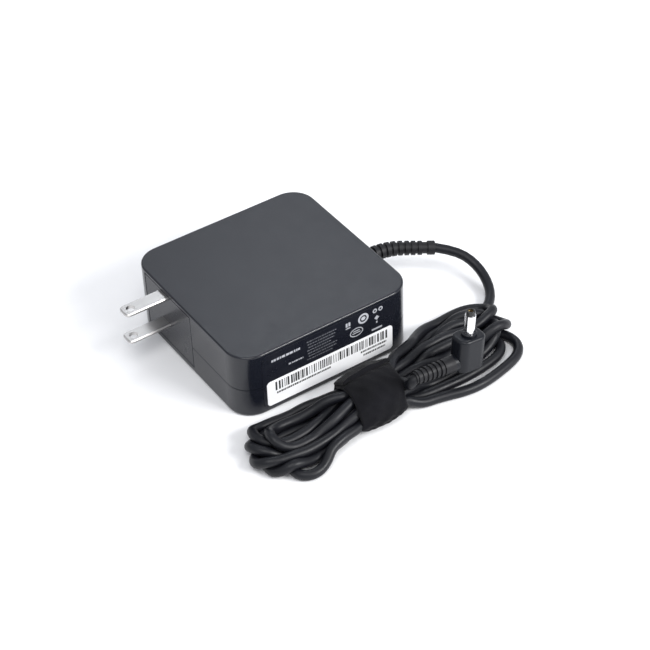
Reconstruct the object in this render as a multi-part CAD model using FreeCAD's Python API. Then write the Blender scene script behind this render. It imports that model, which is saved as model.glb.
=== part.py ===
import FreeCAD, Part
import math
import os

from FreeCAD import Placement, Rotation, Vector

# A square plug-in laptop power adapter with a pull-off mains plug head, a tied
# low-voltage cord and a right-angle barrel plug.  Millimetres, +Z up.
# The origin is the centre of the case's underside: the mains blades point to -X,
# the rating label faces -Y and the cord leaves through the +X side.

# ---- driving dimensions ----
CASE_SIDE = 75.0
CASE_HEIGHT = 28.0
CORNER_RADIUS = 9.5
WALL = 2.2
PARTING_Z = 0.45 * CASE_HEIGHT
TOP_EDGE_RADIUS = 0.7
BOTTOM_EDGE_RADIUS = 1.3
SEAM_GROOVE = 0.3
LIP = 1.6                      # height of the lower shell's locating lip
SMALL_GAP = 0.1                # between still pieces that slip together
SLIDE_GAP = 0.2                # round the pull-off plug head
LABEL_THICKNESS = 0.12

BLADE_WIDTH = 6.35
BLADE_THICKNESS = 1.5
BLADE_LENGTH = 17.3
BLADE_SPACING = 12.7
BLADE_HOLE_RADIUS = 1.6
BLADE_HOLE_FROM_TIP = 3.3
BLADE_Y = 14.4
LOWER_BLADE_Z = 12.35

HEAD_DEPTH = 7.0
HEAD_Y = (-4.0, 28.0)
HEAD_Z = (3.0, 26.6)
POCKET_WALL = 1.2
PIN_RADIUS = 1.0
PIN_LENGTH = 9.0

BOARD_Z = 4.6
BOARD_THICKNESS = 1.6
BOARD_SIDE = 69.0
BOARD_POSTS = ((-30, -30), (30, -30), (30, 30), (-22, 30))
POST_RADIUS = 2.4
CHOKE_CENTRE = (-14.6, 15.6)
CORE_HEIGHT = 17.6             # the transformer's ferrite
CORE_PLATE = 3.7
CORE_CENTRE = (8, 8)
CORE_LEG_RADIUS = 4.2
FLANGE = 0.8                   # the bobbin's flanges
SINK_Y = (-15.6, -14.0)
SINK_HEIGHT = 19.0
PACKAGE_WIDTH = 10.0           # the two power packages on the heat sinks
PACKAGE_DEPTH = 4.4
PACKAGE_Z = (3.2, 18.0)        # above the board
PACKAGE_HOLE_Z = 14.6
LEG_PITCH = 2.54
WIRE_DIAMETER = 1.7

CORD_DIAMETER = 3.8
NECK_RADIUS = 3.3              # the strain relief where it passes the case wall
RELIEF_RIBS = 9
RELIEF_RIB_PITCH = 2.55
STRAP_WIDTH = 20.0
STRAP_THICKNESS = 1.3
STRAP_LAP = 2.4                # how much the lapped end adds to the section
WAIST_WIDTH = 26.0             # the strap's outer section
WAIST_HEIGHT = 12.8
WAIST_X = 4.2
WAIST_Y = -57.0

BARREL_RADIUS = 2.0
BARREL_BORE_RADIUS = 0.675
SLEEVE_WALL = 0.35             # thickness of the barrel's outer metal
PLUG_BASE = Vector(39.2, -67.1, 8.9)
PLUG_TILT = 6.9                # degrees from upright
PLUG_TILT_TOWARDS = 26.4       # degrees from +X, seen from above
PLUG_SIZE = (11.4, 8.8, 13.9)  # along the cord, across it, along the barrel
PLUG_BOOT_Z = 3.4              # the cord's height in the plug's own frame
PLUG_BOOT_LENGTH = 16.6
PLUG_INLET = 1.2               # the moulding's short stub that the boot butts on
PLUG_NECK = 4.2                # smooth taper before the boot's ribs
NECK_END_RADIUS = 3.2          # where the boot meets the moulding
PLUG_RIBS = 6
PLUG_RIB_PITCH = 1.95
BARREL_LENGTH = 7.6            # bare metal beyond the collar
TIP_LENGTH = 1.8               # insulator beyond the metal
BARREL_ROOT = 4.0              # hidden in the moulding
ROOT_RADIUS = 2.4              # the shoulder that the barrel stands on
CONTACT_WALL = 0.3             # the inner contact tube in the insulator
COLLAR_HEIGHT = 0.8

# ---- worked-out dimensions ----
HALF = CASE_SIDE / 2
INSIDE = HALF - WALL
CEILING = CASE_HEIGHT - WALL
BOARD_TOP = BOARD_Z + BOARD_THICKNESS
UPPER_BLADE_Z = LOWER_BLADE_Z + BLADE_SPACING
HEAD_BACK = -HALF + HEAD_DEPTH
POCKET_BACK = HEAD_BACK + SLIDE_GAP
UPPER_CONTACT_Z = LOWER_BLADE_Z + 8.4
RELIEF_Z = CASE_HEIGHT / 2
FLANGE_X = INSIDE - 2.6        # the strain relief's inner flange
TAB_X = HEAD_BACK - 3.4        # where a blade meets its contact tab
PIN_START = TAB_X + 0.7
PIN_END = PIN_START + PIN_LENGTH
PLUG_BOOT_START = -PLUG_SIZE[0] / 2 - PLUG_INLET
BARREL_START = PLUG_SIZE[2] - BARREL_ROOT
COLLAR_TOP = PLUG_SIZE[2] + COLLAR_HEIGHT
TIP_TOP = COLLAR_TOP + BARREL_LENGTH + TIP_LENGTH
ALONG_CORD = Rotation(Vector(0, 1, 0), Vector(0, 0, 1), Vector(1, 0, 0), "XYZ")

# The cord leaves its strain relief at the first point and runs under the hank.
LEAD_ROUTE = (
    (68.5, -8.9, 12.3),
    (75.2, -13.4, 10.6),
    (79.6, -20.0, 7.4),
    (80.0, -27.8, 4.2),
    (76.8, -34.8, 2.3),
    (70.8, -39.6, 1.95),
    (63.6, -42.2, 1.95),
)
RELIEF_ROUTE = ((HALF, 0.0, RELIEF_Z), (52.0, 0.0, RELIEF_Z), LEAD_ROUTE[0])

# The hank's outer shape: (x, y of the middle, z of the middle, width, height).
INNER_WAIST = (WAIST_WIDTH - 2 * STRAP_THICKNESS, WAIST_HEIGHT - 2 * STRAP_THICKNESS)
WAIST_ENDS = (WAIST_X - STRAP_WIDTH / 2 - 1.0, WAIST_X + STRAP_WIDTH / 2 + 1.0)
HANK_LEFT = (
    (-47.0, -59.0, 3.4, 9.0, 4.0),
    (-44.0, -59.8, 4.2, 22.0, 7.4),
    (-37.0, -60.6, 4.9, 29.6, 9.8),
    (-26.0, -60.2, 5.3, 29.2, 10.6),
    (-14.0, -58.4, 5.6, 25.6, 10.6),
    (WAIST_ENDS[0], WAIST_Y, WAIST_HEIGHT / 2) + INNER_WAIST,
)
HANK_RIGHT = (
    (WAIST_ENDS[1], WAIST_Y, WAIST_HEIGHT / 2) + INNER_WAIST,
    (23.0, -56.4, 4.7, 28.0, 9.0),
    (34.0, -54.8, 4.1, 35.0, 8.2),
    (50.0, -52.8, 4.1, 39.6, 8.2),
    (62.0, -51.4, 4.1, 39.6, 8.2),
    (70.0, -50.6, 4.0, 32.0, 8.0),
    (75.5, -50.4, 3.4, 14.0, 5.0),
)


# ---- helpers ----
def box(x, y, z):
    """A box from three (low, high) pairs."""
    size = (x[1] - x[0], y[1] - y[0], z[1] - z[0])
    return Part.makeBox(*size, Vector(x[0], y[0], z[0]))


def rod(start, direction, radius, length):
    return Part.makeCylinder(radius, length, Vector(*start), Vector(*direction))


def rounded_block(x, y, z, radius):
    """A block whose upright edges are rounded."""
    block = box(x, y, z)
    upright = [edge for edge in block.Edges if edge.BoundBox.ZLength > z[1] - z[0] - 1e-6]
    return block.makeFillet(radius, upright)


def square_block(half, z, radius):
    return rounded_block((-half, half), (-half, half), z, radius)


def fuse(shapes):
    whole = shapes[0]
    for shape in shapes[1:]:
        whole = whole.fuse(shape)
    return whole.removeSplitter()


def ellipse_wire(x, y, z, width, height):
    ellipse = Part.Ellipse(Vector(0, 0, 0), max(width, height) / 2, min(width, height) / 2)
    wire = Part.Wire(ellipse.toShape())
    wire.Placement = Placement(Vector(x, y, z), ALONG_CORD)
    return wire


def arc_at(before, corner, after):
    """The largest tangent arc that both runs leave room for: its cut and its radius."""
    first = corner - before
    second = after - corner
    cut = 0.45 * min(first.Length, second.Length)
    return cut, cut / math.tan(first.getAngle(second) / 2)


def route_path(points):
    """Straight runs joined by tangent arcs, as one wire."""
    points = [Vector(*point) for point in points]
    edges = []
    start = points[0]
    for before, corner, after in zip(points, points[1:], points[2:]):
        back = (before - corner).normalize()
        ahead = (after - corner).normalize()
        cut, radius = arc_at(before, corner, after)
        arc_start = corner + back * cut
        arc_end = corner + ahead * cut
        bisector = (back + ahead).normalize()
        middle = corner + bisector * (math.hypot(radius, cut) - radius)
        edges.append(Part.LineSegment(start, arc_start).toShape())
        edges.append(Part.Arc(arc_start, middle, arc_end).toShape())
        start = arc_end
    edges.append(Part.LineSegment(start, points[-1]).toShape())
    return Part.Wire(edges)


def tube(points, diameter):
    """A plain round tube along a route."""
    direction = Vector(*points[1]) - Vector(*points[0])
    circle = Part.Circle(Vector(*points[0]), direction, diameter / 2)
    return route_path(points).makePipeShell([Part.Wire(circle.toShape())], True, False)


def print_cord_facts(points, solid):
    """The bends' radii, and the tube's volume against its section times its length."""
    points = [Vector(*point) for point in points]
    corners = zip(points, points[1:], points[2:])
    print("cord bend radii mm:", [round(arc_at(*corner)[1], 1) for corner in corners])
    section = math.pi * CORD_DIAMETER ** 2 / 4
    ratio = solid.Volume / (route_path(points).Length * section)
    print("cord tube volume against section times length:", round(ratio, 4))


# ---- case ----
def pocket_block():
    """The walls that hold the plug head's pocket inside the case."""
    y = (HEAD_Y[0] - SLIDE_GAP - POCKET_WALL, HEAD_Y[1] + SLIDE_GAP + POCKET_WALL)
    z = (HEAD_Z[0] - SLIDE_GAP - POCKET_WALL, CASE_HEIGHT - 0.5)
    return box((-HALF, POCKET_BACK + POCKET_WALL), y, z)


def pocket_space():
    y = (HEAD_Y[0] - SLIDE_GAP, HEAD_Y[1] + SLIDE_GAP)
    z = (HEAD_Z[0] - SLIDE_GAP, HEAD_Z[1] + SLIDE_GAP)
    space = box((-HALF - 5, POCKET_BACK), y, z)
    for contact_z in (LOWER_BLADE_Z, UPPER_CONTACT_Z):
        hole = rod((HEAD_BACK - 1, BLADE_Y, contact_z), (1, 0, 0), PIN_RADIUS + SMALL_GAP, 5)
        space = space.fuse(hole)
    return space


def relief_hole():
    return rod((INSIDE - 5, 0, RELIEF_Z), (1, 0, 0), NECK_RADIUS + SMALL_GAP, WALL + 10)


def round_edges(shell, z, radius):
    edges = [edge for edge in shell.Edges
             if abs(edge.BoundBox.ZMin - z) < 1e-6 and edge.BoundBox.ZLength < 1e-6]
    return shell.makeFillet(radius, edges)


def seam_groove():
    """A fine groove round the case where the shells meet."""
    z = (PARTING_Z - SEAM_GROOVE / 2, PARTING_Z + SEAM_GROOVE / 2)
    outer = square_block(HALF + 1, z, CORNER_RADIUS + 1)
    return outer.cut(square_block(HALF - SEAM_GROOVE, z, CORNER_RADIUS - SEAM_GROOVE))


def lower_case():
    outer = square_block(HALF, (0, PARTING_Z), CORNER_RADIUS)
    outer = round_edges(outer, 0, BOTTOM_EDGE_RADIUS)
    inner = square_block(INSIDE, (WALL, PARTING_Z + 1), CORNER_RADIUS - WALL)
    lip_radius = CORNER_RADIUS - WALL / 2
    lip = square_block(INSIDE + WALL / 2, (PARTING_Z - 0.5, PARTING_Z + LIP), lip_radius)
    lip = lip.cut(square_block(INSIDE, (PARTING_Z - 1, CASE_HEIGHT), CORNER_RADIUS - WALL))
    posts = [rod((x, y, WALL), (0, 0, 1), POST_RADIUS, BOARD_Z - WALL)
             for x, y in BOARD_POSTS]
    shell = fuse([outer.cut(inner), pocket_block().common(outer), lip] + posts)
    return shell.cut(pocket_space()).cut(relief_hole()).cut(seam_groove())


def upper_case():
    outer = square_block(HALF, (PARTING_Z, CASE_HEIGHT), CORNER_RADIUS)
    outer = round_edges(outer, CASE_HEIGHT, TOP_EDGE_RADIUS)
    inner = square_block(INSIDE, (PARTING_Z - 1, CEILING), CORNER_RADIUS - WALL)
    rebate_half = INSIDE + WALL / 2 + SMALL_GAP
    rebate_z = (PARTING_Z - 1, PARTING_Z + LIP + SMALL_GAP)
    rebate = square_block(rebate_half, rebate_z, CORNER_RADIUS - WALL / 2)
    rebate = rebate.cut(square_block(INSIDE - SMALL_GAP, (0, CASE_HEIGHT), CORNER_RADIUS - WALL))
    shell = fuse([outer.cut(inner), pocket_block().common(outer)])
    return shell.cut(rebate).cut(pocket_space()).cut(relief_hole()).cut(seam_groove())


def label(x, z, y, thickness, corner):
    """A thin film on the -Y side with rounded corners."""
    block = box(x, (y - thickness, y), z)
    corners = [edge for edge in block.Edges if edge.BoundBox.YLength > thickness - 1e-6]
    return block.makeFillet(corner, corners)


# ---- pull-off plug head ----
def contact_bore(contact_z):
    """The clear bore that a contact pin slides in."""
    return rod((TAB_X + 0.2, BLADE_Y, contact_z), (1, 0, 0), PIN_RADIUS + SLIDE_GAP, HEAD_DEPTH)


def blade(blade_z, contact_z):
    """One mains blade with the tab and socket that meet its contact pin."""
    y = (BLADE_Y - BLADE_WIDTH / 2, BLADE_Y + BLADE_WIDTH / 2)
    tip = -HALF - BLADE_LENGTH
    flat = box((tip, TAB_X), y, (blade_z - BLADE_THICKNESS / 2, blade_z + BLADE_THICKNESS / 2))
    tip_edges = [edge for edge in flat.Edges if edge.BoundBox.XMax < tip + 1e-6]
    upright = [edge for edge in tip_edges if edge.BoundBox.ZLength > BLADE_THICKNESS - 1e-6]
    flat = flat.makeFillet(1.8, upright)
    tip_edges = [edge for edge in flat.Edges if edge.BoundBox.XMax < tip + 1e-6]
    flat = flat.makeChamfer(0.4, [edge for edge in tip_edges if edge.BoundBox.ZLength < 1e-6])
    hole_x = tip + BLADE_HOLE_FROM_TIP
    flat = flat.cut(rod((hole_x, BLADE_Y, blade_z - 2), (0, 0, 1), BLADE_HOLE_RADIUS, 4))
    tab_low = min(blade_z - BLADE_THICKNESS / 2, contact_z - 2.6)
    tab_high = max(blade_z + BLADE_THICKNESS / 2, contact_z + 2.6)
    tab = box((TAB_X - 0.01, TAB_X + 1.0), y, (tab_low, tab_high))
    socket = rod((TAB_X + 1.0, BLADE_Y, contact_z), (1, 0, 0), 2.3, HEAD_BACK - TAB_X - 1.2)
    return fuse([flat, tab, socket]).cut(contact_bore(contact_z))


def plug_head_housing(blades):
    block = box((-HALF, HEAD_BACK), HEAD_Y, HEAD_Z)
    front = [edge for edge in block.Edges if edge.BoundBox.XMax < -HALF + 1e-6]
    block = block.makeChamfer(0.3, front)
    for piece in blades:
        block = block.cut(piece)
    for contact_z in (LOWER_BLADE_Z, UPPER_CONTACT_Z):
        block = block.cut(contact_bore(contact_z))
    return block


def contact_pin(contact_z):
    pin = rod((PIN_START, BLADE_Y, contact_z), (1, 0, 0), PIN_RADIUS, PIN_LENGTH)
    return pin.makeChamfer(0.3, [edge for edge in pin.Edges if edge.BoundBox.XMax < PIN_START + 0.1])


def contact_carrier(pins):
    x = POCKET_BACK + POCKET_WALL
    plate = box((x, x + 2.4), (BLADE_Y - 6, BLADE_Y + 6),
                (LOWER_BLADE_Z - 4, UPPER_CONTACT_Z + 4))
    for pin in pins:
        plate = plate.cut(pin)
    return plate


# ---- electronics ----
def circuit_board():
    half = BOARD_SIDE / 2
    board = square_block(half, (BOARD_Z, BOARD_TOP), 7.0)
    notch = box((-half - 1, -27.4), (HEAD_Y[0] - 3, half + 1), (0, BOARD_TOP + 1))
    return board.cut(notch)


def insulation_sheet():
    sheet = square_block(BOARD_SIDE / 2 - 1, (BOARD_Z - 0.4, BOARD_Z), 6.0)
    sheet = sheet.cut(box((-40, -28.4), (HEAD_Y[0] - 4, 40), (0, BOARD_TOP)))
    for x, y in BOARD_POSTS:
        sheet = sheet.cut(rod((x, y, 0), (0, 0, 1), POST_RADIUS + SMALL_GAP, BOARD_TOP))
    return sheet


def ring(x, y, z, outer, inner, height):
    solid = rod((x, y, z), (0, 0, 1), outer, height)
    return solid.cut(rod((x, y, z - 1), (0, 0, 1), inner, height + 2))


def choke_core():
    return ring(*CHOKE_CENTRE, BOARD_TOP + 1.2, 6.8, 3.9, 7.0)


def choke_windings():
    """Two coils of wire, one on each side of the ring core."""
    cover = ring(*CHOKE_CENTRE, BOARD_TOP, 8.0, 2.7, 9.4).cut(choke_core())
    gap = box((-30, 0), (CHOKE_CENTRE[1] - 1.6, CHOKE_CENTRE[1] + 1.6), (0, CASE_HEIGHT))
    return cover.cut(gap)


def transformer_core():
    """Two ferrite E-halves: plates, side legs and a round middle leg."""
    block = box((-4, 20), (-3, 19), (BOARD_TOP, BOARD_TOP + CORE_HEIGHT))
    window_z = (BOARD_TOP + CORE_PLATE, BOARD_TOP + CORE_HEIGHT - CORE_PLATE)
    window = box((0, 16), (-4, 20), window_z)
    leg = rod(CORE_CENTRE + window_z[:1], (0, 0, 1), CORE_LEG_RADIUS, window_z[1] - window_z[0])
    return block.cut(window).fuse(leg).removeSplitter()


def transformer_bobbin():
    """The flanged reel that carries the windings round the middle leg."""
    low = BOARD_TOP + CORE_PLATE
    height = CORE_HEIGHT - 2 * CORE_PLATE
    sleeve = ring(*CORE_CENTRE, low, CORE_LEG_RADIUS + FLANGE, CORE_LEG_RADIUS, height)
    flanges = [ring(*CORE_CENTRE, z, 7.9, CORE_LEG_RADIUS, FLANGE) for z in (low, low + height - FLANGE)]
    return fuse([sleeve] + flanges)


def transformer_winding():
    height = CORE_HEIGHT - 2 * CORE_PLATE - 2 * FLANGE
    return ring(*CORE_CENTRE, BOARD_TOP + CORE_PLATE + FLANGE, 7.6, CORE_LEG_RADIUS + FLANGE, height)


def heat_sink(x):
    return box(x, SINK_Y, (BOARD_TOP, BOARD_TOP + SINK_HEIGHT))


def power_package(x):
    """A flat power transistor or rectifier standing on its legs against its heat sink."""
    y = SINK_Y[1]
    z = (BOARD_TOP + PACKAGE_Z[0], BOARD_TOP + PACKAGE_Z[1])
    body = box((x - PACKAGE_WIDTH / 2, x + PACKAGE_WIDTH / 2), (y, y + PACKAGE_DEPTH), z)
    body = body.cut(rod((x, y - 1, BOARD_TOP + PACKAGE_HOLE_Z), (0, 1, 0), 1.7, PACKAGE_DEPTH + 2))
    leg_z = (BOARD_TOP, BOARD_TOP + PACKAGE_Z[0] + 0.1)
    legs = [box((x + dx - 0.4, x + dx + 0.4), (y + 1.7, y + 2.3), leg_z)
            for dx in (-LEG_PITCH, 0, LEG_PITCH)]
    return fuse([body] + legs)


def sink_screw(x):
    """A pan-head screw through the package's hole into the sink."""
    under_head = (x, SINK_Y[1] + PACKAGE_DEPTH, BOARD_TOP + PACKAGE_HOLE_Z)
    shank = rod(under_head, (0, -1, 0), 1.5, PACKAGE_DEPTH)
    head = rod(under_head, (0, 1, 0), 2.7, 1.8)
    slot = box((x - 1.8, x + 1.8), (under_head[1] + 1, under_head[1] + 3),
               (under_head[2] - 0.3, under_head[2] + 0.3))
    return shank.fuse(head).cut(slot).removeSplitter()


def standing_can(x, y, radius, height):
    """An electrolytic capacitor standing on the board, with its crimp groove."""
    can = rod((x, y, BOARD_TOP), (0, 0, 1), radius, height)
    rims = [edge for edge in can.Edges if edge.BoundBox.ZLength < 1e-6]
    can = can.makeFillet(0.5, rims)
    groove = Part.makeTorus(radius + 0.25, 0.6, Vector(x, y, BOARD_TOP + 2.2))
    return can.cut(groove)


def bulk_capacitor():
    """The big input capacitor lies on its side along the board's edge."""
    start = -31.0
    length = 30.0
    radius = 8.0
    y = -25.4
    z = BOARD_TOP + radius + 0.4
    can = rod((start, y, z), (1, 0, 0), radius, length)
    can = can.makeFillet(0.8, [edge for edge in can.Edges if edge.BoundBox.XLength < 1e-6])
    groove = Part.makeTorus(radius + 0.3, 0.8, Vector(start + 3, y, z), Vector(1, 0, 0))
    return can.cut(groove)


def leaded_disc(x, y, radius, thickness):
    """A disc-shaped part standing on two wire legs."""
    disc = rod((x, y - thickness / 2, BOARD_TOP + radius + 1.6), (0, 1, 0), radius, thickness)
    rims = [edge for edge in disc.Edges if edge.BoundBox.YLength < 1e-6]
    disc = disc.makeFillet(thickness * 0.3, rims)
    legs = [rod((x + dx, y, BOARD_TOP), (0, 0, 1), 0.35, radius + 1.6) for dx in (-2.5, 2.5)]
    return fuse([disc] + legs)


def film_capacitor():
    return rounded_block((-24.0, -9.0), (26.0, 33.0), (BOARD_TOP, BOARD_TOP + 13.0), 0.8)


def chip(x, y, size, height):
    """A small moulded chip with feet along two sides."""
    body = box((x - size[0] / 2, x + size[0] / 2), (y - size[1] / 2, y + size[1] / 2),
               (BOARD_TOP + 0.2, BOARD_TOP + height))
    feet_y = (y - size[1] / 2 - 1.0, y + size[1] / 2 + 1.0)
    feet = [box((x + dx - 0.25, x + dx + 0.25), feet_y, (BOARD_TOP, BOARD_TOP + 0.4))
            for dx in (-LEG_PITCH / 2, LEG_PITCH / 2)]
    return fuse([body] + feet)


# ---- cord, strap and barrel plug ----
def strain_relief():
    """A ribbed boot that bends with the cord, with a flange inside the case."""
    path = route_path(RELIEF_ROUTE)
    steps = 320
    samples = path.discretize(Number=steps + 1)

    def disc(distance, thickness, radius):
        index = min(int(distance / path.Length * steps), steps - 1)
        tangent = (samples[index + 1] - samples[index]).normalize()
        return Part.makeCylinder(radius, thickness, samples[index], tangent)

    core = tube(RELIEF_ROUTE, 4.5)
    pieces = [core, disc(0, 5.0, NECK_RADIUS), disc(path.Length - 2.7, 2.69, 2.75)]
    for index in range(RELIEF_RIBS):
        pieces.append(disc(6.2 + RELIEF_RIB_PITCH * index, 1.45, 3.1 - 0.04 * index))
    neck = rod((INSIDE - 2.2, 0, RELIEF_Z), (1, 0, 0), NECK_RADIUS, WALL + 2.2)
    flange = rounded_block((FLANGE_X, INSIDE - SMALL_GAP), (-5, 5), (RELIEF_Z - 5, RELIEF_Z + 5), 1.0)
    return fuse(pieces + [neck, flange])


def section_wires(sections):
    return [ellipse_wire(*section) for section in sections]


def hank():
    """The folded cord's outer shape: two flat lobes and a waist under the strap."""
    left = Part.makeLoft(section_wires(HANK_LEFT), True, True)
    right = Part.makeLoft(section_wires(HANK_RIGHT), True, True)
    waist = ellipse_wire(WAIST_ENDS[0], WAIST_Y, WAIST_HEIGHT / 2, *INNER_WAIST)
    middle = Part.Face(waist).extrude(Vector(WAIST_ENDS[1] - WAIST_ENDS[0], 0, 0))
    return fuse([left, middle, right])


def strap():
    """A hook-and-loop band wrapped once round the waist, its end lapped on top."""
    start = WAIST_X - STRAP_WIDTH / 2
    outer = ellipse_wire(start, WAIST_Y, WAIST_HEIGHT / 2, WAIST_WIDTH, WAIST_HEIGHT)
    inner = ellipse_wire(start, WAIST_Y, WAIST_HEIGHT / 2, *INNER_WAIST)
    run = Vector(STRAP_WIDTH, 0, 0)
    band = Part.Face(outer).extrude(run)
    lap = ellipse_wire(start, WAIST_Y, WAIST_HEIGHT / 2, WAIST_WIDTH + STRAP_LAP, WAIST_HEIGHT + STRAP_LAP)
    lap_part = box((start, start + STRAP_WIDTH), (WAIST_Y - 5, WAIST_Y + 20), (WAIST_HEIGHT / 2, 20))
    lap = Part.Face(lap).extrude(run).common(lap_part)
    return band.fuse(lap).cut(Part.Face(inner).extrude(run)).removeSplitter()


def plug_placement():
    """Stands the plug on the hank, leaning away over the cord."""
    heading = math.radians(PLUG_TILT_TOWARDS)
    lean_axis = Vector(-math.sin(heading), math.cos(heading), 0)
    return Placement(PLUG_BASE, Rotation(lean_axis, PLUG_TILT))


def placed(shape):
    moved = shape.copy()
    moved.Placement = plug_placement().multiply(moved.Placement)
    return moved


def plug_housing():
    """The right-angle moulding, with a collar at the foot of the barrel."""
    length, width, height = PLUG_SIZE
    body = rounded_block((-length / 2, length / 2), (-width / 2, width / 2), (0, height), 3.2)
    rims = [edge for edge in body.Edges if edge.BoundBox.ZLength < 1e-6]
    body = body.makeFillet(1.1, rims)
    collar = rod((0, 0, height - 1), (0, 0, 1), 2.9, 1 + COLLAR_HEIGHT)
    inlet = rod((PLUG_BOOT_START, 0, PLUG_BOOT_Z), (1, 0, 0), NECK_END_RADIUS, length / 2)
    bore = rod((0, 0, BARREL_START), (0, 0, 1), ROOT_RADIUS, BARREL_ROOT + 5)
    return fuse([body, collar, inlet]).cut(bore)


def plug_boot():
    """Boot from the moulding back to the strap: a smooth neck, then six ribs."""
    foot = Vector(PLUG_BOOT_START, 0, PLUG_BOOT_Z)
    direction = Vector(-1, 0, 0)
    core = Part.makeCone(2.5, 2.2, PLUG_BOOT_LENGTH, foot, direction)
    neck = Part.makeCone(NECK_END_RADIUS, 2.9, PLUG_NECK, foot, direction)
    pieces = [core, neck]
    for index in range(PLUG_RIBS):
        along = PLUG_NECK + 0.7 + PLUG_RIB_PITCH * index
        pieces.append(rod(foot + direction * along, direction, 3.0 - 0.08 * index, 1.15))
    return fuse(pieces)


def plug_sleeve():
    """The barrel's outer metal contact."""
    root = rod((0, 0, BARREL_START), (0, 0, 1), ROOT_RADIUS, COLLAR_TOP - BARREL_START)
    barrel = rod((0, 0, COLLAR_TOP), (0, 0, 1), BARREL_RADIUS, BARREL_LENGTH)
    hollow = rod((0, 0, BARREL_START - 1), (0, 0, 1), BARREL_RADIUS - SLEEVE_WALL, TIP_TOP)
    return fuse([root, barrel]).cut(hollow)


def plug_insulator():
    """The black tube between the contacts, with a rounded nose."""
    body = rod((0, 0, BARREL_START), (0, 0, 1), BARREL_RADIUS - SLEEVE_WALL, TIP_TOP - BARREL_START)
    nose = [edge for edge in body.Edges if edge.BoundBox.ZMin > TIP_TOP - 1e-6]
    body = body.makeFillet(0.35, nose)
    hollow = rod((0, 0, BARREL_START - 1), (0, 0, 1), BARREL_BORE_RADIUS + CONTACT_WALL, TIP_TOP)
    return body.cut(hollow)


def plug_contact():
    """The inner contact tube that takes the socket's pin."""
    length = TIP_TOP - 0.6 - BARREL_START
    body = rod((0, 0, BARREL_START), (0, 0, 1), BARREL_BORE_RADIUS + CONTACT_WALL, length)
    return body.cut(rod((0, 0, BARREL_START + 1.0), (0, 0, 1), BARREL_BORE_RADIUS, length))


def plug_tail():
    """The short piece of cord from the boot's thin end down under the strap."""
    boot_end = Vector(PLUG_BOOT_START - PLUG_BOOT_LENGTH, 0, PLUG_BOOT_Z)
    boot_end = plug_placement().multVec(boot_end)
    under_strap = Vector(WAIST_ENDS[1] - 6.0, WAIST_Y - 6.5, WAIST_HEIGHT / 2 + 2.0)
    run = under_strap - boot_end
    return rod(boot_end, run, CORD_DIAMETER / 2, run.Length)


def add_electronics(nodes):
    """The circuit board, its insulation and everything that stands on it."""
    nodes["circuit_board"] = circuit_board()
    nodes["insulation_sheet"] = insulation_sheet()
    nodes["input_fuse"] = rod((-4.0, 24.0, BOARD_TOP + 2.6), (0, 1, 0), 2.6, 9.5)
    nodes["inrush_thermistor"] = leaded_disc(4.5, 30.0, 4.6, 3.4)
    nodes["film_capacitor"] = film_capacitor()
    nodes["choke_core"] = choke_core()
    nodes["choke_windings"] = choke_windings()
    nodes["bridge_rectifier"] = box((-22.0, -8.0), (-3.6, 0.0), (BOARD_TOP, BOARD_TOP + 11.0))
    nodes["bulk_capacitor"] = bulk_capacitor()
    nodes["transformer_core"] = transformer_core()
    nodes["transformer_bobbin"] = transformer_bobbin()
    nodes["transformer_winding"] = transformer_winding()
    nodes["primary_heat_sink"] = heat_sink((-26.0, 4.0))
    nodes["switching_transistor"] = power_package(-14.0)
    nodes["transistor_screw"] = sink_screw(-14.0)
    nodes["secondary_heat_sink"] = heat_sink((8.0, 31.0))
    nodes["output_rectifier"] = power_package(20.0)
    nodes["rectifier_screw"] = sink_screw(20.0)
    nodes["output_capacitor_front"] = standing_can(8.0, -25.0, 5.0, 17.0)
    nodes["output_capacitor_rear"] = standing_can(20.0, -25.0, 5.0, 17.0)
    nodes["output_choke"] = ring(26.8, 14.0, BOARD_TOP, 5.6, 2.4, 6.0)
    nodes["safety_capacitor"] = leaded_disc(16.0, 26.0, 4.0, 3.2)
    nodes["feedback_coupler"] = chip(24.0, 25.0, (4.6, 6.4), 3.4)
    nodes["control_chip"] = chip(-2.0, -8.5, (5.0, 4.0), 1.8)
    nodes["heat_spreader"] = box((-24, 32), (-32, 32), (CEILING - 0.5, CEILING))


def add_plug_head(nodes):
    """The pull-off head with its blades, and the pins that its sockets slide on."""
    lower = blade(LOWER_BLADE_Z, LOWER_BLADE_Z)
    upper = blade(UPPER_BLADE_Z, UPPER_CONTACT_Z)
    nodes["plug_head_housing"] = plug_head_housing([lower, upper])
    nodes["blade_lower"] = lower
    nodes["blade_upper"] = upper
    pins = [contact_pin(LOWER_BLADE_Z), contact_pin(UPPER_CONTACT_Z)]
    nodes["contact_pin_lower"], nodes["contact_pin_upper"] = pins
    nodes["contact_carrier"] = contact_carrier(pins)


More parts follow.
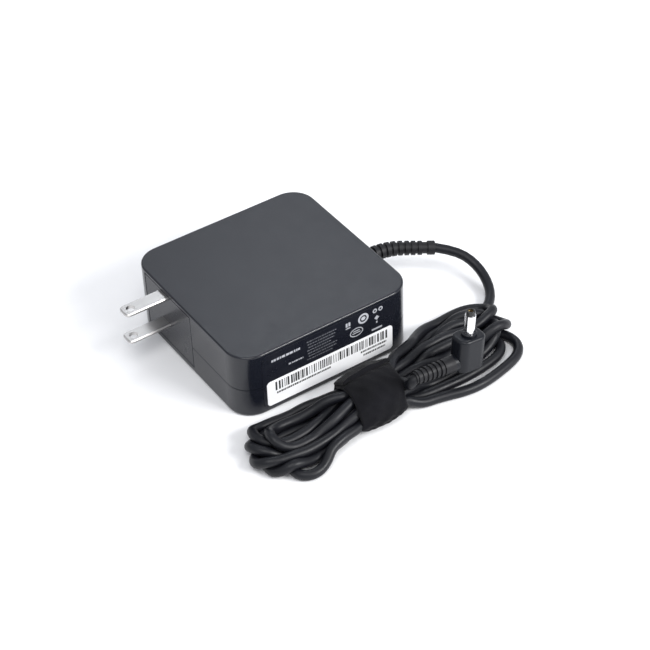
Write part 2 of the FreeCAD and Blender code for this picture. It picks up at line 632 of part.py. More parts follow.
def add_wires(nodes):
    """The mains wires from the pins to the board, and the output wires to the cord."""
    live = tube(((PIN_END, BLADE_Y, UPPER_CONTACT_Z), (-21.4, BLADE_Y, UPPER_CONTACT_Z + 1.2),
                 (-17.5, 18.5, 21.5), (-14.0, 23.0, 22.6), (-7.0, 23.6, 22.0),
                 (-5.5, 22.0, 15.0), (-5.4, 21.5, BOARD_TOP)), WIRE_DIAMETER)
    neutral = tube(((PIN_END, BLADE_Y, LOWER_BLADE_Z), (-22.9, 12.0, LOWER_BLADE_Z + 1),
                    (-24.6, 6.4, 11.4), (-25.2, 2.2, 9.2), (-25.3, 0.6, BOARD_TOP)), WIRE_DIAMETER)
    board = nodes["circuit_board"]
    nodes["live_wire"] = live.cut(nodes["contact_pin_upper"]).cut(board)
    nodes["neutral_wire"] = neutral.cut(nodes["contact_pin_lower"]).cut(board)
    for name, side in (("positive_wire", 1), ("negative_wire", -1)):
        wire = tube(((FLANGE_X, 1.4 * side, RELIEF_Z), (29.0, 1.8 * side, RELIEF_Z - 0.6),
                     (26.0, 2.2 * side, 11.0), (25.2, 2.4 * side, BOARD_TOP)), WIRE_DIAMETER)
        nodes[name] = wire.cut(nodes["output_strain_relief"]).cut(board)


def add_cord(nodes):
    """The cord's plain solids, the strap round it and the plug on its end."""
    lead = tube(LEAD_ROUTE, CORD_DIAMETER)
    print_cord_facts(LEAD_ROUTE, lead)
    nodes["cord_hank"] = hank()
    nodes["cord_strap"] = strap()
    nodes["cord_lead"] = lead.cut(nodes["cord_hank"]).cut(nodes["output_strain_relief"])
    nodes["plug_boot"] = placed(plug_boot())
    tail = plug_tail().cut(nodes["cord_hank"]).cut(nodes["cord_strap"])
    nodes["plug_tail"] = tail.cut(nodes["plug_boot"])
    nodes["plug_housing"] = placed(plug_housing())
    nodes["plug_sleeve"] = placed(plug_sleeve())
    nodes["plug_insulator"] = placed(plug_insulator())
    nodes["plug_contact"] = placed(plug_contact())


def build():
    nodes = {}
    nodes["upper_case"] = upper_case()
    nodes["lower_case"] = lower_case()
    nodes["rating_label"] = label((-28.4, 28.2), (2.2, 26.4), -HALF, LABEL_THICKNESS, 1.6)
    nodes["barcode_label"] = label((-27.0, 27.7), (2.8, 14.0), -HALF - LABEL_THICKNESS, LABEL_THICKNESS, 1.5)
    nodes["output_strain_relief"] = strain_relief()
    add_plug_head(nodes)
    add_electronics(nodes)
    add_wires(nodes)
    add_cord(nodes)
    return nodes


def main():
    os.makedirs("parts", exist_ok=True)
    for name, shape in build().items():
        if not shape.isValid():
            print("invalid shape:", name)
        bounds = shape.BoundBox
        low = (round(bounds.XMin, 1), round(bounds.YMin, 1), round(bounds.ZMin, 1))
        high = (round(bounds.XMax, 1), round(bounds.YMax, 1), round(bounds.ZMax, 1))
        print("%-24s solids %d volume %9.1f" % (name, len(shape.Solids), shape.Volume), low, high)
        shape.exportStep("parts/" + name + ".step")


main()
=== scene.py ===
import math
import bmesh
import bpy
import numpy as np
from mathutils import Matrix, Vector


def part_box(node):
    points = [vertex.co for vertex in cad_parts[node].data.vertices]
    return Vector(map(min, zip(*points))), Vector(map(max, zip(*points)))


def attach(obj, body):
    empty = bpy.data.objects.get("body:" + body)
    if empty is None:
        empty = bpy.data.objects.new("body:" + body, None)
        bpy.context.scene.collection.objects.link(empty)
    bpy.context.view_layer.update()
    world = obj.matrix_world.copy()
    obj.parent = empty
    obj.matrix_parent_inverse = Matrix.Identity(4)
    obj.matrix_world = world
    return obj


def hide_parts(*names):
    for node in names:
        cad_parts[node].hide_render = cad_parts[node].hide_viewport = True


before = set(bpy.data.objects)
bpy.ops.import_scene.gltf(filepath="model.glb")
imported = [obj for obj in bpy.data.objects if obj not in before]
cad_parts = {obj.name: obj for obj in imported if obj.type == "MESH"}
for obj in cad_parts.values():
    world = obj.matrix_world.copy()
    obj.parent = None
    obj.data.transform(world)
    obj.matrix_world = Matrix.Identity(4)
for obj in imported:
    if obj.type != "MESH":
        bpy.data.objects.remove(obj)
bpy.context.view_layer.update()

# A square plug-in power adapter with its cord folded in a strapped hank.
# Metres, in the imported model's frame.  The mains blades point to -X, the
# labels face -Y and the cord leaves through the +X side.

BODY = "adapter"
MM = 0.001
CORD_NODES = ("cord_lead", "cord_hank", "plug_tail")

# ---- sizes from the frame ----
CASE_SIDE_X = Vector(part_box("lower_case")[1]).x
STRAP_LOW, STRAP_HIGH = (Vector(corner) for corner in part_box("cord_strap"))
LABEL_FACE_Y = Vector(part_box("rating_label")[0]).y
STICKER_FACE_Y = Vector(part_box("barcode_label")[0]).y

# ---- camera, fitted to the case's edges and the mains blades ----
SENSOR_WIDTH = 36
LENS = 104.4
CAMERA_PLACE = (-0.2763, -0.4635, 0.4637)
CAMERA_AIM = (0.01615, -0.01026, 0.00050)
CAMERA_ROLL = -2.2             # degrees

# ---- light ----
SKY_COLOUR = (0.93, 0.95, 1.0, 1)
SKY_STRENGTH = 0.72
WHITE = (1, 1, 1)
COOL = (0.90, 0.95, 1.0)
LIGHTS = (                     # name, place, aim, size, watts, colour
    ("key", (-0.34, -0.42, 0.95), (0, -0.06, 0), (0.6, 0.6), 4.2, WHITE),
    ("back", (0.38, 0.56, 0.73), (0, 0, 0), (0.2, 0.2), 0.9, COOL),
    ("front", (0.42, -0.72, 0.55), (0, 0, 0), (0.5, 0.3), 8.6, WHITE),
)

# ---- the case's gloss ----
CASE_ROUGHNESS = 0.40          # before the sides and the top differ
SIDE_ROUGHNESS = 0.16
TOP_ROUGHNESS = 0.38
TOP_BEGINS = 0.80              # upward part of the normal where the top's gloss sets in

# ---- the cord, in metres ----
CORD = 3.8 * MM
LEAD_ROUTE = (
    (0.0685, -0.0089, 0.0123),
    (0.0752, -0.0134, 0.0106),
    (0.0792, -0.0200, 0.0074),
    (0.0793, -0.0278, 0.0042),
    (0.0762, -0.0348, 0.0023),
    (0.0708, -0.0396, 0.00195),
    (0.0636, -0.0422, 0.00195),
)
# Where the plug lies in the CAD; these follow part.py.
BOOT_END = Vector((0.0162, -0.0669, 0.0148))
BOOT_DIRECTION = Vector((-0.994, 0.003, 0.108))
COLLAR_TOP = Vector((0.04078, -0.06631, 0.02349))
BARREL_AXIS = Vector((0.1076, 0.0534, 0.9927)).normalized()

# Each fold of the hank, bottom turn first, in mm: x and y of its nose, the
# nose's radius, and y of its back and front runs halfway along.
LEFT_FOLDS = (
    (-37.6, -69.4, 5.4, -63.2, -74.2),
    (-44.6, -62.4, 6.3, -56.5, -67.4),
    (-46.2, -59.8, 6.7, -53.5, -66.5),
    (-44.8, -55.0, 6.6, -49.0, -62.0),
    (-41.4, -51.0, 6.4, -45.4, -58.0),
    (-39.0, -56.4, 5.6, -51.0, -63.0),
)
RIGHT_FOLDS = (
    (67.6, -60.2, 8.2, -51.5, -72.6),
    (61.4, -57.2, 6.4, -50.5, -66.0),
    (65.6, -51.0, 6.4, -43.2, -61.0),
    (71.2, -49.6, 6.6, -40.4, -56.0),
    (70.4, -41.2, 6.0, -37.2, -47.0),
)
FOLD_MIDDLE = {-1: -24.0, 1: 40.0}
LAYER = 3.9                    # height of one turn above the last, before it settles
STIFFNESS = ((1, 0.8), (2, 0.25))  # points between, and share of a wiggle taken out each round
TIGHTEST = 6.0                 # radius under which a bend is opened
STEP = 2.2                     # between the cord's points
CORD_MM = CORD / MM
FLOOR = CORD_MM / 2 + 0.05
WAIST = np.array((4.2, -58.0, 6.6))
HALF_STRAP = (STRAP_HIGH.x - STRAP_LOW.x) / 2 / MM
STRAP_SKEW = 0.16              # the strap is not quite square to the bundle
BUNDLE = np.array((8.8, 3.6))  # half width and height of the strapped strands' centres
PINCH = 0.6                    # share of a run's offset that is left at the strap's edges
TAIL_POINTS = 12               # the last points, which rise out of the strap to the boot
FAN_STARTS = 0.6               # beyond the strap's edge
FAN_ENDS = 18
FAN_SLOPE = 0.016
FAN_CURVE = 0.0005

# ---- how the hank settles, in mm ----
ROUNDS = 900
SINK = 0.10                    # each round
LATE_SINK = 0.05
KEEP_PLAN = 0.05               # share of the way back to the drawn plan
LATE_KEEP_PLAN = 0.02
CASE_CORNER = 9.5              # the case's corner radius
CASE_CLEARANCE = 0.4

# ---- the strap, in metres ----
STRAP_ACROSS = 33              # points across the band
STRAP_AROUND = 192             # points round one turn
STRAP_THICKNESS = 1.25 * MM
STRAP_CROWN = 1.1 * MM         # how much thicker its pile is along the middle
STRAP_START = 0.93             # of a turn, where its inner end lies
STRAP_LAP = 0.27               # of a turn

# ---- print ----
MARK_LIFT = 0.015 * MM         # off the label's face


# ---- camera, lights and floor ----
def make_camera():
    data = bpy.data.cameras.new("camera")
    data.sensor_width = SENSOR_WIDTH
    data.lens = LENS
    camera = bpy.data.objects.new("camera", data)
    place = Vector(CAMERA_PLACE)
    look = (Vector(CAMERA_AIM) - place).to_track_quat("-Z", "Y").to_matrix()
    roll = Matrix.Rotation(math.radians(CAMERA_ROLL), 3, "Z")
    camera.matrix_world = Matrix.Translation(place) @ (look @ roll).to_4x4()
    bpy.context.scene.collection.objects.link(camera)
    bpy.context.scene.camera = camera


def area_light(name, place, aim, size, power, colour):
    data = bpy.data.lights.new(name, "AREA")
    data.shape = "RECTANGLE"
    data.size, data.size_y = size
    data.energy = power
    data.color = colour
    light = bpy.data.objects.new(name, data)
    turn = (Vector(aim) - Vector(place)).to_track_quat("-Z", "Y").to_matrix().to_4x4()
    light.matrix_world = Matrix.Translation(Vector(place)) @ turn
    bpy.context.scene.collection.objects.link(light)


def make_studio():
    world = bpy.data.worlds.new("studio")
    world.use_nodes = True
    background = world.node_tree.nodes["Background"]
    background.inputs["Color"].default_value = SKY_COLOUR
    background.inputs["Strength"].default_value = SKY_STRENGTH
    bpy.context.scene.world = world
    bpy.context.scene.view_settings.view_transform = "Standard"
    for light in LIGHTS:
        area_light(*light)


# ---- materials ----
def surface(name, colour, roughness, metallic=0.0, patches=0.12, grain=(900, 0.03),
            spread=0.06, stretch=(1, 1, 1), specular=0.5):
    """A shader with soft patches of colour, uneven gloss and a fine bumpy grain.

    patches and spread say how far the colour and the roughness vary, and grain is
    the bump's scale and strength.
    """
    material = bpy.data.materials.new(name)
    material.use_nodes = True
    nodes = material.node_tree.nodes
    links = material.node_tree.links
    shader = nodes["Principled BSDF"]
    shader.inputs["Metallic"].default_value = metallic
    shader.inputs["Specular IOR Level"].default_value = specular
    place = nodes.new("ShaderNodeTexCoord")
    mapping = nodes.new("ShaderNodeMapping")
    mapping.inputs["Scale"].default_value = stretch
    links.new(place.outputs["Object"], mapping.inputs["Vector"])

    def noise(scale, detail):
        texture = nodes.new("ShaderNodeTexNoise")
        texture.inputs["Scale"].default_value = scale
        texture.inputs["Detail"].default_value = detail
        links.new(mapping.outputs["Vector"], texture.inputs["Vector"])
        return texture.outputs["Fac"]

    ramp = nodes.new("ShaderNodeValToRGB")
    for end, factor in enumerate((1 - patches, 1 + patches)):
        ramp.color_ramp.elements[end].position = 0.3 + 0.4 * end
        ramp.color_ramp.elements[end].color = [min(1.0, value * factor) for value in colour] + [1]
    links.new(noise(70, 4), ramp.inputs["Fac"])
    links.new(ramp.outputs["Color"], shader.inputs["Base Color"])

    gloss = nodes.new("ShaderNodeMapRange")
    gloss.inputs["From Min"].default_value = 0.3
    gloss.inputs["From Max"].default_value = 0.7
    gloss.inputs["To Min"].default_value = roughness - spread
    gloss.inputs["To Max"].default_value = roughness + spread
    links.new(noise(230, 5), gloss.inputs["Value"])
    links.new(gloss.outputs["Result"], shader.inputs["Roughness"])

    bump = nodes.new("ShaderNodeBump")
    bump.inputs["Strength"].default_value = grain[1]
    bump.inputs["Distance"].default_value = 0.0002
    links.new(noise(grain[0] * 4, 3), bump.inputs["Height"])
    links.new(bump.outputs["Normal"], shader.inputs["Normal"])
    return material


def make_materials():
    rubber = dict(patches=0.2, grain=(700, 0.2), spread=0.07, specular=0.3)
    plain = dict(patches=0.18, grain=(500, 0.15))
    smooth = dict(patches=0.05, grain=(1500, 0.05), spread=0.02, specular=0.4)
    film = dict(patches=0.1, grain=(300, 0.05), specular=0.3)
    paper = dict(patches=0.02, grain=(700, 0.05))
    moulded = dict(patches=0.12, grain=(800, 0.12), specular=0.3)
    polished = dict(patches=0.04, grain=(300, 0.03), spread=0.03)
    ink = dict(patches=0.2, grain=(600, 0.1))
    fine_ink = dict(patches=0.3, grain=(600, 0.1))
    barcode_ink = dict(patches=0.25, grain=(600, 0.1))
    rows = (                   # slot, colour, roughness, metallic, and how it varies
        ("head_plastic", (0.011, 0.012, 0.017), 0.26, 0.0, smooth),
        ("label_film", (0.008, 0.009, 0.014), 0.30, 0.0, film),
        ("label_paper", (0.92, 0.92, 0.93), 0.38, 0.0, paper),
        ("blade_nickel", (0.52, 0.51, 0.50), 0.30, 1.0, dict(grain=(220, 0.12), stretch=(0.06, 1, 1))),
        ("contact_brass", (0.72, 0.52, 0.22), 0.28, 1.0, dict(grain=(300, 0.1))),
        ("inner_plastic", (0.04, 0.04, 0.045), 0.5, 0.0, plain),
        ("board_laminate", (0.03, 0.12, 0.05), 0.4, 0.0, plain),
        ("insulation_film", (0.42, 0.35, 0.2), 0.5, 0.0, plain),
        ("fuse_ceramic", (0.75, 0.72, 0.65), 0.55, 0.0, plain),
        ("disc_coating", (0.02, 0.06, 0.25), 0.35, 0.0, plain),
        ("film_box", (0.6, 0.42, 0.05), 0.4, 0.0, plain),
        ("ferrite", (0.02, 0.02, 0.022), 0.6, 0.0, dict(grain=(500, 0.4))),
        ("enamelled_copper", (0.5, 0.16, 0.05), 0.3, 0.8, plain),
        ("winding_tape", (0.75, 0.5, 0.03), 0.35, 0.0, plain),
        ("component_epoxy", (0.015, 0.015, 0.016), 0.55, 0.0, plain),
        ("capacitor_sleeve", (0.015, 0.02, 0.05), 0.28, 0.0, plain),
        ("sheet_aluminium", (0.75, 0.76, 0.78), 0.35, 1.0, dict(grain=(220, 0.15), stretch=(0.05, 1, 1))),
        ("screw_steel", (0.55, 0.55, 0.56), 0.3, 1.0, dict(grain=(400, 0.1))),
        ("wire_insulation", (0.3, 0.02, 0.02), 0.45, 0.0, plain),
        ("boot_rubber", (0.008, 0.008, 0.010), 0.50, 0.0, rubber),
        ("cord_jacket", (0.0050, 0.0055, 0.0080), 0.42, 0.0, rubber),
        ("plug_plastic", (0.0045, 0.0055, 0.0085), 0.34, 0.0, moulded),
        ("barrel_nickel", (0.86, 0.86, 0.87), 0.16, 1.0, polished),
        ("tip_plastic", (0.008, 0.008, 0.008), 0.3, 0.0, dict(patches=0.2, grain=(700, 0.1))),
        ("label_ink", (0.42, 0.43, 0.46), 0.45, 0.0, ink),
        ("fine_ink", (0.13, 0.135, 0.15), 0.45, 0.0, fine_ink),
        ("barcode_ink", (0.015, 0.015, 0.016), 0.5, 0.0, barcode_ink),
    )
    materials = {name: surface(name, colour, roughness, metallic, **varies)
                 for name, colour, roughness, metallic, varies in rows}
    materials["case_plastic"] = case_plastic()
    materials["strap_fabric"] = strap_fabric()
    return materials


def case_plastic():
    """Dark moulded plastic, satin on its flat top and polished on its sides."""
    material = surface("case_plastic", (0.008, 0.0092, 0.0140), CASE_ROUGHNESS,
                       patches=0.03, grain=(1500, 0.08), spread=0.02, specular=0.45)
    nodes = material.node_tree.nodes
    links = material.node_tree.links
    shader = nodes["Principled BSDF"]
    normal = nodes.new("ShaderNodeNewGeometry")
    parts = nodes.new("ShaderNodeSeparateXYZ")
    links.new(normal.outputs["Normal"], parts.inputs["Vector"])
    gloss = nodes.new("ShaderNodeMapRange")
    gloss.inputs["From Min"].default_value = TOP_BEGINS
    gloss.inputs["From Max"].default_value = 1.0
    gloss.inputs["To Min"].default_value = SIDE_ROUGHNESS
    gloss.inputs["To Max"].default_value = TOP_ROUGHNESS
    links.new(parts.outputs["Z"], gloss.inputs["Value"])
    uneven = shader.inputs["Roughness"].links[0].from_socket
    both = nodes.new("ShaderNodeMath")
    both.operation = "ADD"
    links.new(gloss.outputs["Result"], both.inputs[0])
    links.new(uneven, both.inputs[1])
    without_base = nodes.new("ShaderNodeMath")
    without_base.operation = "SUBTRACT"
    without_base.inputs[1].default_value = CASE_ROUGHNESS
    links.new(both.outputs["Value"], without_base.inputs[0])
    links.new(without_base.outputs["Value"], shader.inputs["Roughness"])
    return material


def strap_fabric():
    """Matt black looped pile: a bristly bump, uneven gloss and a soft sheen."""
    material = surface("strap_fabric", (0.005, 0.005, 0.0065), 0.9, patches=0.45,
                       grain=(700, 0.9), spread=0.08, specular=0.1)
    shader = material.node_tree.nodes["Principled BSDF"]
    shader.inputs["Sheen Weight"].default_value = 0.05
    shader.inputs["Sheen Roughness"].default_value = 0.5
    return material


def paint_nodes(materials):
    """Gives each CAD node the material that its slot in the record names."""
    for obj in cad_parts.values():
        for slot in obj.material_slots:
            name = slot.material.name.split(".")[0]
            if name in materials:
                slot.material = materials[name]
            else:
                print("no material for slot", name, "on", obj.name)


# ---- mesh helpers ----
def finish_piece(obj, slot, materials):
    """Paints a piece, puts it in the scene and lets it ride on the adapter's body."""
    obj.data.materials.append(materials[slot])
    bpy.context.scene.collection.objects.link(obj)
    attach(obj, BODY)
    return obj


def mesh_piece(name, vertices, faces, smooth=True):
    mesh = bpy.data.meshes.new(name)
    mesh.from_pydata([tuple(map(float, vertex)) for vertex in vertices], [], faces)
    mesh.update()
    for polygon in mesh.polygons:
        polygon.use_smooth = smooth
    return bpy.data.objects.new(name, mesh)


# ---- the folded cord ----
def half_turn(fold, side, level):
    """Guide points of one turn beyond the strap: out, round the nose and back."""
    nose_x, nose_y, radius, back, front = fold
    edge = WAIST[0] + side * (HALF_STRAP + 1)
    first, last = (front, back) if side > 0 else (back, front)
    points = [
        (edge, WAIST[1] + PINCH * (first - WAIST[1]), level),
        (FOLD_MIDDLE[side], first, level),
    ]
    for step in range(9):
        angle = math.pi * (step / 8 - 0.5)
        x = nose_x - side * radius * (1 - math.cos(angle))
        points.append((x, nose_y + side * radius * math.sin(angle), level))
    points.append((FOLD_MIDDLE[side], last, level))
    points.append((edge, WAIST[1] + PINCH * (last - WAIST[1]), level))
    return points


def guide_points():
    """The whole hank before it settles: every turn above the last."""
    points = [np.array(LEAD_ROUTE[-1]) / MM, (52.0, -44.5, FLOOR), (34.0, -48.5, FLOOR)]
    for turn, fold in enumerate(LEFT_FOLDS):
        points += half_turn(fold, -1, FLOOR + LAYER * turn)
        if turn < len(RIGHT_FOLDS):
            points += half_turn(RIGHT_FOLDS[turn], 1, FLOOR + LAYER * (turn + 0.5))
    points.append((10.0, -64.0, FLOOR + LAYER * len(LEFT_FOLDS)))
    points.append(tuple((BOOT_END + BOOT_DIRECTION * 2 * MM) / MM))
    points.append(tuple((BOOT_END - BOOT_DIRECTION * 2 * MM) / MM))
    return np.array(points, float)


def smooth_line(points):
    """A Catmull-Rom line through the points, as closely spaced samples."""
    ends = np.vstack((2 * points[0] - points[1], points, 2 * points[-1] - points[-2]))
    samples = []
    for k in range(1, len(ends) - 2):
        a, b, c, d = ends[k - 1:k + 3]
        before, here, after = (max(np.linalg.norm(v), 1e-6) ** 0.5 for v in (b - a, c - b, d - c))
        start = (c - b) + here * ((b - a) / before - (c - a) / (before + here))
        stop = (c - b) + here * ((d - c) / after - (d - b) / (here + after))
        for t in np.linspace(0, 1, max(2, int(np.linalg.norm(c - b))), endpoint=False):
            samples.append((2 * t**3 - 3 * t**2 + 1) * b + (t**3 - 2 * t**2 + t) * start
                           + (3 * t**2 - 2 * t**3) * c + (t**3 - t**2) * stop)
    samples.append(points[-1])
    return np.array(samples)


def evenly(points, step):
    """The line again, with its points an even step apart."""
    runs = np.linalg.norm(np.diff(points, axis=0), axis=1)
    along = np.concatenate(([0], np.cumsum(runs)))
    places = np.linspace(0, along[-1], int(round(along[-1] / step)) + 1)
    return np.stack([np.interp(places, along, points[:, axis]) for axis in range(3)], 1)


def bend_evenly(x, rest):
    """Takes the wiggles out of the line, and opens a bend that is too tight."""
    for gap, share in STIFFNESS:
        wiggle = (x[:-4 * gap] - 4 * x[gap:-3 * gap] + 6 * x[2 * gap:-2 * gap]
                  - 4 * x[3 * gap:-gap] + x[4 * gap:])
        x[2 * gap:-2 * gap] -= share * wiggle / 16
    pull = (x[:-6] + x[6:]) / 2 - x[3:-3]
    size = np.linalg.norm(pull, axis=1)
    allowed = (3 * rest) ** 2 / (2 * TIGHTEST)
    x[3:-3] += 0.5 * pull * (np.clip(size - allowed, 0, None) / np.maximum(size, 1e-9))[:, None]


def hold_in_strap(x, looseness):
    """The strap's ellipse round the bundle, and the fan of the runs beyond it."""
    beyond = np.abs(x[:, 0] - WAIST[0]) - HALF_STRAP
    across = x[:, 1:] - WAIST[1:]
    limit = np.ones(len(x))
    limit[-TAIL_POINTS:] = 1 + 0.5 * np.clip((x[-TAIL_POINTS:, 0] - 6) / 8, 0, 1)
    radii = BUNDLE * np.array((1 + 0.25 * looseness, 1 + looseness))
    size = np.sqrt(((across / radii) ** 2).sum(1))
    inside = beyond < FAN_STARTS
    share = np.where((size > limit) & inside, limit / np.maximum(size, 1e-9), 1.0)
    x[:, 1:] = WAIST[1:] + across * share[:, None]
    fan = (beyond >= FAN_STARTS) & (beyond < FAN_ENDS)
    reach = BUNDLE[0] * (1 + 0.25 * looseness) * (1 + FAN_SLOPE * beyond + FAN_CURVE * beyond**2)
    off = x[:, 1] - WAIST[1]
    x[fan, 1] = WAIST[1] + np.clip(off[fan], -reach[fan], reach[fan])


def push_apart(x, first, second):
    """Moves touching strands a diameter apart."""
    gap = x[second] - x[first]
    distance = np.sqrt((gap ** 2).sum(1))
    least = CORD_MM * 1.01
    hit = distance < least
    if not hit.any():
        return
    first, second, distance = first[hit], second[hit], np.maximum(distance[hit], 1e-6)
    push = gap[hit] * ((least - distance) / 2 / distance)[:, None]
    move = np.zeros_like(x)
    count = np.zeros(len(x))
    for index, amount in ((second, push), (first, -push)):
        np.add.at(move, index, amount)
        np.add.at(count, index, 1)
    x += 1.4 * move / np.maximum(count, 1)[:, None]


def keep_lengths(x, rest):
    """Brings each run between two points back to its length, every other run at a time."""
    for first in (0, 1):
        start, end = x[first:-1:2], x[first + 1::2]
        count = min(len(start), len(end))
        run = end[:count] - start[:count]
        length = np.linalg.norm(run, axis=1)
        share = run * ((length - rest) / length / 2)[:, None]
        start[:count] += share
        end[:count] -= share


def keep_off_case(x):
    """Pushes points out of the case's rounded square."""
    side = CASE_SIDE_X / MM
    out = np.maximum(np.abs(x[:, :2]) - (side - CASE_CORNER), 0)
    away = np.linalg.norm(out, axis=1)
    need = CASE_CORNER + CORD_MM / 2 + CASE_CLEARANCE
    inside = (away < need) & (away > 0)
    x[inside, :2] += np.sign(x[inside, :2]) * out[inside] * ((need - away[inside]) / away[inside])[:, None]


def settle(x):
    """Lets the turns sink onto each other and the floor while the strap tightens."""
    rest = np.linalg.norm(np.diff(x, axis=0), axis=1).mean()
    plan = x[:, :2].copy()
    ends = [0, 1, -2, -1]
    held = x[ends].copy()
    every_first, every_second = np.triu_indices(len(x), 5)
    for count in range(ROUNDS):
        time = count / ROUNDS
        x[:, 2] -= SINK if time < 0.7 else LATE_SINK
        free = np.abs(x[:, 0] - WAIST[0]) > HALF_STRAP + 3
        x[free, :2] += (KEEP_PLAN if time < 0.5 else LATE_KEEP_PLAN) * (plan[free] - x[free, :2])
        bend_evenly(x, rest)
        hold_in_strap(x, 4 * max(0.0, 1 - time / 0.6))
        if count % 10 == 0:
            near = ((x[every_second] - x[every_first]) ** 2).sum(1) < (CORD_MM + 3) ** 2
            first, second = every_first[near], every_second[near]
        for _ in range(3):
            push_apart(x, first, second)
        for _ in range(6):
            keep_lengths(x, rest)
        x[:, 2] = np.maximum(x[:, 2], FLOOR)
        keep_off_case(x)
        x[ends] = held
    return x


def make_cord(materials):
    """The cord as one NURBS tube, and the centre line of its hank."""
    line = settle(evenly(smooth_line(guide_points()), STEP)) * MM
    points = [np.array(point) for point in LEAD_ROUTE] + list(line[1:])
    curve = bpy.data.curves.new("cord", "CURVE")
    curve.dimensions = "3D"
    spline = curve.splines.new("NURBS")
    spline.points.add(len(points) - 1)
    for control, point in zip(spline.points, points):
        control.co = (*point, 1)
    spline.order_u = 3
    spline.use_endpoint_u = True
    spline.resolution_u = 3
    spline.use_smooth = True
    curve.bevel_depth = CORD / 2
    curve.bevel_resolution = 6
    curve.use_fill_caps = True
    cord = bpy.data.objects.new("cord", curve)
    finish_piece(cord, "cord_jacket", materials)
    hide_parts(*CORD_NODES)
    return cord, line


# ---- the strap ----
def strands_at(line, x):
    """Where the cord's centre line crosses the upright plane at x."""
    hits = []
    for start, end in zip(line, line[1:]):
        if (start[0] - x) * (end[0] - x) <= 0 and start[0] != end[0]:
            share = (x - start[0]) / (end[0] - start[0])
            hits.append((start + (end - start) * share)[1:])
    return np.array(hits)


def bundle_outline(line, x, angles):
    """How far the strands reach in each direction from the waist's middle."""
    strands = strands_at(line, x) - np.array((WAIST[1], WAIST[2])) * MM
    directions = np.stack((np.cos(angles), np.sin(angles)), 1)
    return (directions @ strands.T).max(1) + CORD / 2


def strap_inside(line, stations, angles, normal):
    """The band's inner face round the bundle at each station, drawn tight and smooth."""
    reach = np.array([bundle_outline(line, x, angles) for x in stations])
    for _ in range(24):
        reach = (np.roll(reach, 1, 1) + 2 * reach + np.roll(reach, -1, 1)) / 4
    for _ in range(3):
        reach[1:-1] = (reach[:-2] + 2 * reach[1:-1] + reach[2:]) / 4
    slope = (np.roll(reach, -1, 1) - np.roll(reach, 1, 1)) / (2 * angles[1])
    tangent = np.stack((-np.sin(angles), np.cos(angles)), 1)
    return reach[:, :, None] * normal + slope[:, :, None] * tangent


def strap_faces(last):
    """The band's two faces, its two edges and its two ends."""
    faces = []
    row = 2 * STRAP_ACROSS
    for step in range(last):
        for index in range(STRAP_ACROSS - 1):
            a = step * row + index
            faces.append((a, a + 1, a + row + 1, a + row))
            b = a + STRAP_ACROSS
            faces.append((b + row, b + row + 1, b + 1, b))
        for index in (0, STRAP_ACROSS - 1):
            a = step * row + index
            quad = (a, a + row, a + row + STRAP_ACROSS, a + STRAP_ACROSS)
            faces.append(quad if index == 0 else quad[::-1])
    for step in (0, last):
        for index in range(STRAP_ACROSS - 1):
            a = step * row + index
            quad = (a, a + STRAP_ACROSS, a + STRAP_ACROSS + 1, a + 1)
            faces.append(quad if step == 0 else quad[::-1])
    return faces


def make_strap(line, materials):
    """A band wrapped once round the bundle, its end lapped over its start."""
    angles = np.arange(STRAP_AROUND) * 2 * math.pi / STRAP_AROUND
    stations = np.linspace(STRAP_LOW.x, STRAP_HIGH.x, STRAP_ACROSS)
    normal = np.stack((np.cos(angles), np.sin(angles)), 1)
    inner = strap_inside(line, stations, angles, normal)
    start = int(STRAP_AROUND * STRAP_START)
    last = STRAP_AROUND + int(STRAP_AROUND * STRAP_LAP)
    vertices = []
    for step in range(last + 1):
        spot = (start + step) % STRAP_AROUND
        ramp = min(1.0, max(0.0, (step - STRAP_AROUND + 8) / 12))
        level = ramp * ramp * (3 - 2 * ramp) * (STRAP_THICKNESS + 0.1 * MM)
        lift = 0.9 * MM * max(0.0, (step - last + 10) / 10) ** 2
        for side in (0, 1):
            for index, x in enumerate(stations):
                edge = abs(index / (STRAP_ACROSS - 1) - 0.5) * 2
                ripple = (0.16 * math.sin(0.23 * step + 0.5 * index)
                          + 0.10 * math.sin(0.41 * step - 0.8 * index))
                pile = side * STRAP_THICKNESS * (1 - 0.25 * edge**8)
                crown = side * STRAP_CROWN * (1 - edge**2)
                height = level + lift + pile + crown + ripple * MM * 0.8
                fray = 0.35 * MM * math.sin(0.17 * step + 1.3 * math.sin(0.07 * step)) * edge**3
                y, z = inner[index, spot] + normal[spot] * (height + 0.05 * MM)
                z = max(z + WAIST[2] * MM, 0.02 * MM)
                outward = fray if index > STRAP_ACROSS / 2 else -fray
                vertices.append((x + outward + STRAP_SKEW * y, y + WAIST[1] * MM, z))
    strap = mesh_piece("strap", vertices, strap_faces(last))
    finish_piece(strap, "strap_fabric", materials)
    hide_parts("cord_strap")
    return strap


# ---- the plug's collar ----
def make_collar_lip(materials):
    """The moulding's black rim round the foot of the barrel."""
    across = Vector((1, 0, 0)).cross(BARREL_AXIS).normalized()
    other = BARREL_AXIS.cross(across)
    profile = ((2.03, -0.12), (2.03, 0.14), (2.70, 0.14), (2.90, 0.0), (2.90, -0.12))
    turns = 48
    vertices = []
    faces = []
    for turn in range(turns):
        angle = turn * 2 * math.pi / turns
        outward = across * math.cos(angle) + other * math.sin(angle)
        for corner, (radius, height) in enumerate(profile):
            vertices.append(COLLAR_TOP + outward * radius * MM + BARREL_AXIS * height * MM)
            ahead = (turn + 1) % turns * len(profile)
            here = turn * len(profile)
            following = (corner + 1) % len(profile)
            faces.append((here + corner, ahead + corner, ahead + following, here + following))
    lip = mesh_piece("plug_collar_lip", vertices, faces, smooth=False)
    return finish_piece(lip, "plug_plastic", materials)


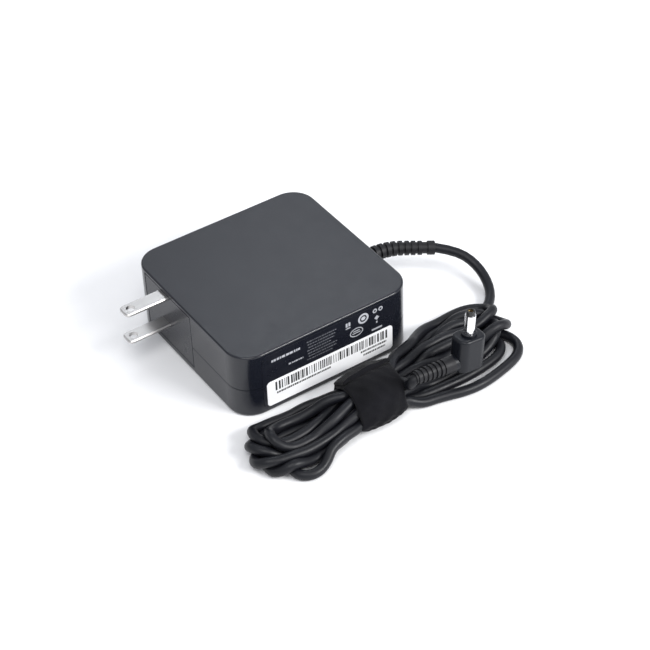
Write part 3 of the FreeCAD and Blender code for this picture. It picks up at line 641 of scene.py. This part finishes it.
# ---- label print ----
def flat_marks(name, shapes, face_y, slot, materials):
    """Printed shapes on a -Y face.

    Each is a closed outline of (x, z) points in mm, or a ring of two outlines.
    """
    vertices = []
    faces = []
    y = face_y - MARK_LIFT
    for shape in shapes:
        outer, inner = shape if isinstance(shape[0][0], (tuple, list)) else (shape, None)
        base = len(vertices)
        vertices += [(x * MM, y, z * MM) for x, z in outer]
        if inner is None:
            faces.append(tuple(range(base, base + len(outer))))
            continue
        vertices += [(x * MM, y, z * MM) for x, z in inner]
        count = len(outer)
        for k in range(count):
            after = (k + 1) % count
            faces.append((base + k, base + after, base + count + after, base + count + k))
    marks = mesh_piece(name, vertices, faces, smooth=False)
    finish_piece(marks, slot, materials)


def bar(x, z, width, height):
    return [(x, z), (x + width, z), (x + width, z + height), (x, z + height)]


def oval(x, z, width, height):
    count = 28
    turns = [k * 2 * math.pi / count for k in range(count)]
    return [(x + width / 2 * math.cos(turn), z + height / 2 * math.sin(turn)) for turn in turns]


def oval_ring(x, z, width, height, line):
    return [oval(x, z, width, height), oval(x, z, width - 2 * line, height - 2 * line)]


def dashes(random, x, z, length, height, widest):
    """A row of short strokes of uneven length, like fine print seen from afar."""
    shapes = []
    end = x + length
    while x < end:
        width = random.uniform(0.35, 1.0) * widest
        shapes.append(bar(x, z, min(width, end - x + 0.2), height))
        x += width + random.uniform(0.25, 0.6) * widest * 0.5
    return shapes


def make_rating_marks(materials):
    """Generic strokes, rings and shapes where the rating label is printed; no lettering."""
    random = np.random.RandomState(11)
    shapes = dashes(random, -24.5, 22.6, 12.0, 1.0, 1.5)
    shapes += dashes(random, -17.4, 18.0, 6.0, 0.6, 1.2)
    fine = []
    for row in range(7):
        start = -9.5 + 0.3 * (row % 3)
        length = 12.5 - 0.8 * (row % 4)
        fine += dashes(random, start, 24.0 - 1.35 * row, length, 0.42, 1.1)
    shapes += [bar(7.3, 22.6, 0.8, 1.8), bar(8.5, 22.6, 0.8, 1.8), bar(7.3, 21.6, 2.0, 0.5)]
    shapes += [oval_ring(15.0, 23.2, 4.6, 4.6, 0.8), oval(15.0, 23.2, 1.9, 1.7)]
    shapes += [oval_ring(11.9, 18.3, 5.8, 4.0, 0.4), bar(10.1, 17.8, 3.6, 0.4), bar(10.5, 18.7, 2.8, 0.4)]
    shapes += [oval_ring(20.1, 24.2, 1.9, 2.0, 0.5), oval_ring(22.6, 24.2, 1.9, 2.0, 0.5)]
    shapes += [[(20.9, 21.8), (22.0, 20.7), (20.9, 19.6), (19.8, 20.7)], bar(20.6, 18.2, 0.6, 0.9)]
    shapes.append(bar(18.6, 15.3, 4.6, 0.8))
    flat_marks("rating_marks", shapes, LABEL_FACE_Y, "label_ink", materials)
    flat_marks("rating_fine_print", fine, LABEL_FACE_Y, "fine_ink", materials)


def make_barcode(materials):
    """Bars of random widths, which encode nothing, and rows of strokes under them."""
    random = np.random.RandomState(5)
    shapes = []
    x = -23.5
    while x < 24.8:
        width = random.choice((0.28, 0.28, 0.5, 0.75))
        shapes.append(bar(x, 8.9, width, 4.0))
        x += width + random.choice((0.3, 0.45, 0.7))
    shapes += dashes(random, -23.0, 7.2, 23.0, 0.85, 0.8)
    shapes += dashes(random, 13.5, 7.2, 11.2, 0.85, 0.8)
    shapes += dashes(random, 14.6, 5.4, 9.6, 0.85, 0.8)
    flat_marks("barcode_marks", shapes, STICKER_FACE_Y, "barcode_ink", materials)


def make_floor(materials):
    mesh = bpy.data.meshes.new("floor")
    floor = bpy.data.objects.new("floor", mesh)
    builder = bmesh.new()
    bmesh.ops.create_grid(builder, x_segments=8, y_segments=8, size=3.0)
    builder.to_mesh(mesh)
    builder.free()
    mesh.materials.append(surface("floor", (0.93, 0.93, 0.935), 0.8, patches=0.01))
    bpy.context.scene.collection.objects.link(floor)


def main():
    materials = make_materials()
    paint_nodes(materials)
    make_camera()
    make_studio()
    make_floor(materials)
    cord, line = make_cord(materials)
    strap = make_strap(line, materials)
    collar_lip = make_collar_lip(materials)
    make_rating_marks(materials)
    make_barcode(materials)


main()
